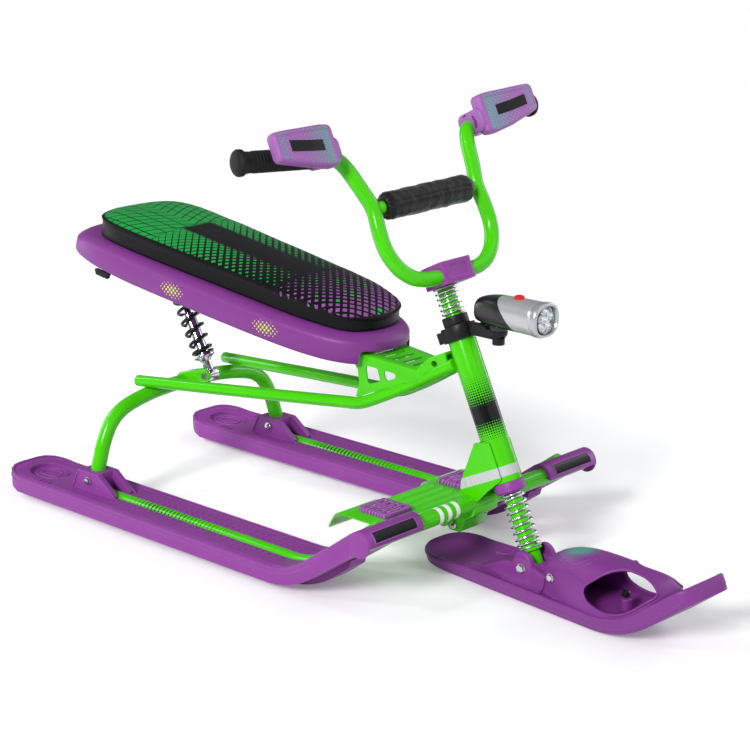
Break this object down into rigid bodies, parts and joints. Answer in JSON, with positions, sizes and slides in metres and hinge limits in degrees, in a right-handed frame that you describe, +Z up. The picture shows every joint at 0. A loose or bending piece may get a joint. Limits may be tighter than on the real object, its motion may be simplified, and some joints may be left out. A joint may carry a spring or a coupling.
{
  "type": "steering sled",
  "caption": "Child's steering sled: two long rear skis under a tube frame, a sprung and steered front ski, a handlebar with grips and guards, a sprung padded seat, a foot brake and a lamp.",
  "frame": {"origin": "on the floor under the middle of the sled's bounding box", "axes": "+X forward along the rear skis, +Y to the left, +Z up; the front ski and bar stand turned 6 degrees to the right"},
  "size_m": [1.2611, 0.5721, 0.6773],
  "materials": {
    "green_coated_steel": "gloss powder coat",
    "purple_plastic": "satin moulded",
    "black_plastic": "satin moulded",
    "black_vinyl": "grained vinyl",
    "black_rubber": "matt",
    "chromed_steel": "polished",
    "black_steel": "satin black coat",
    "zinc_steel": "zinc plated",
    "silver_plastic": "metallic",
    "clear_lens": "clear",
    "mirrored_cup": "mirror",
    "red_plastic": "gloss"
  },
  "bodies": {
    "frame": {"head_tube": "green_coated_steel", "lower_bush": "purple_plastic", "upper_bush": "black_plastic", "cross_tube": "green_coated_steel", "rear_arch": "green_coated_steel", "seat_rail_right": "green_coated_steel", "seat_rail_left": "green_coated_steel", "runner_tube_right": "green_coated_steel", "runner_tube_left": "green_coated_steel", "head_gusset": "green_coated_steel", "seat_bracket": "green_coated_steel", "shock_bracket": "green_coated_steel", "shock_lower_bolt": "zinc_steel", "tow_bracket": "green_coated_steel", "tow_pin": "chromed_steel", "brake_pivot_pin": "zinc_steel", "rear_ski_right": "purple_plastic", "rear_ski_left": "purple_plastic", "rear_ski_bolt_right": "chromed_steel", "rear_ski_bolt_left": "chromed_steel", "lamp_clamp": "black_plastic", "lower_spring": "chromed_steel", "upper_spring": "chromed_steel"},
    "fork_slider": {"lower_spring_washer": "zinc_steel", "upper_spring_washer": "zinc_steel"},
    "steering_column": {"fork_tube": "green_coated_steel", "stem_clamp": "purple_plastic", "handlebar": "green_coated_steel", "crossbar": "green_coated_steel", "crossbar_pad": "black_vinyl", "grip_right": "black_rubber", "grip_left": "black_rubber", "hand_guard_right": "purple_plastic", "hand_guard_left": "purple_plastic"},
    "front_ski_group": {"front_ski": "purple_plastic", "ski_pivot_bolt": "chromed_steel", "ski_cowl": "purple_plastic", "cowl_bolt": "chromed_steel", "cowl_nut": "black_plastic"},
    "seat": {"seat_pan": "purple_plastic", "seat_cushion": "black_vinyl", "seat_hinge_pin": "zinc_steel", "shock_upper_bracket": "black_steel", "seat_bumper": "black_rubber"},
    "shock_lower": {"shock_body": "black_steel", "shock_spring": "black_steel"},
    "shock_upper": {"shock_rod": "chromed_steel"},
    "brake": {"brake_plate": "green_coated_steel", "brake_pad_right": "purple_plastic", "brake_pad_left": "purple_plastic", "brake_spring": "zinc_steel"},
    "lamp_carrier": {"lamp_arm": "black_plastic"},
    "lamp": {"lamp_housing": "silver_plastic", "lamp_bezel": "silver_plastic", "lamp_lens": "clear_lens", "lamp_reflector": "mirrored_cup", "lamp_battery": "zinc_steel"},
    "lamp_switch": {"lamp_button": "red_plastic"}
  },
  "joints": [
    {"name": "front_suspension", "type": "slide", "parent": "frame", "child": "fork_slider", "axis": [-0.4226, 0, 0.9063], "range_m": [-0.008, 0.011], "stiffness_N_per_m": 6000, "springref_m": -0.004, "deforming": ["lower_spring", "upper_spring"]},
    {"name": "steering", "type": "hinge", "parent": "fork_slider", "child": "steering_column", "pos_m": [0.17987, 0, 0.27189], "axis": [-0.4226, 0, 0.9063], "range_deg": [-29, 41]},
    {"name": "front_ski_pitch", "type": "hinge", "parent": "steering_column", "child": "front_ski_group", "pos_m": [0.28675, 0, 0.04268], "axis": [0.0947, 0.9945, 0.0442], "range_deg": [-8, 1]},
    {"name": "seat_hinge", "type": "hinge", "parent": "frame", "child": "seat", "pos_m": [-0.03635, 0, 0.312], "axis": [0, -1, 0], "range_deg": [0, 4], "stiffness_Nm_per_rad": 1200, "springref_deg": -0.57},
    {"name": "shock_swing", "type": "hinge", "parent": "frame", "child": "shock_lower", "pos_m": [-0.38635, 0, 0.191], "axis": [0, -1, 0], "range_deg": [0, 5.89]},
    {"name": "shock_travel", "type": "slide", "parent": "shock_lower", "child": "shock_upper", "axis": [-0.4802, 0, 0.8771], "range_m": [-0.02553, 0], "deforming": ["shock_spring"]},
    {"name": "brake_pivot", "type": "hinge", "parent": "frame", "child": "brake", "pos_m": [0.15365, 0, 0.086], "axis": [0, -1, 0], "range_deg": [0, 22], "stiffness_Nm_per_rad": 3, "springref_deg": -34.38},
    {"name": "lamp_tilt", "type": "hinge", "parent": "frame", "child": "lamp_carrier", "pos_m": [0.17515, 0, 0.367], "axis": [0, 1, 0], "range_deg": [-15, 15]},
    {"name": "lamp_swivel", "type": "hinge", "parent": "lamp_carrier", "child": "lamp", "pos_m": [0.21265, 0, 0.372], "axis": [0, 0, 1], "range_deg": [-20, 20]},
    {"name": "lamp_button_press", "type": "slide", "parent": "lamp", "child": "lamp_switch", "axis": [0, 0, -1], "range_m": [0, 0.0015], "stiffness_N_per_m": 400, "springref_m": -0.001}
  ],
  "couplings": [
    {"joint": "shock_swing", "follows": "seat_hinge", "ratio": 1.4672},
    {"joint": "shock_travel", "follows": "seat_hinge", "m_per_rad": -0.36143}
  ]
}
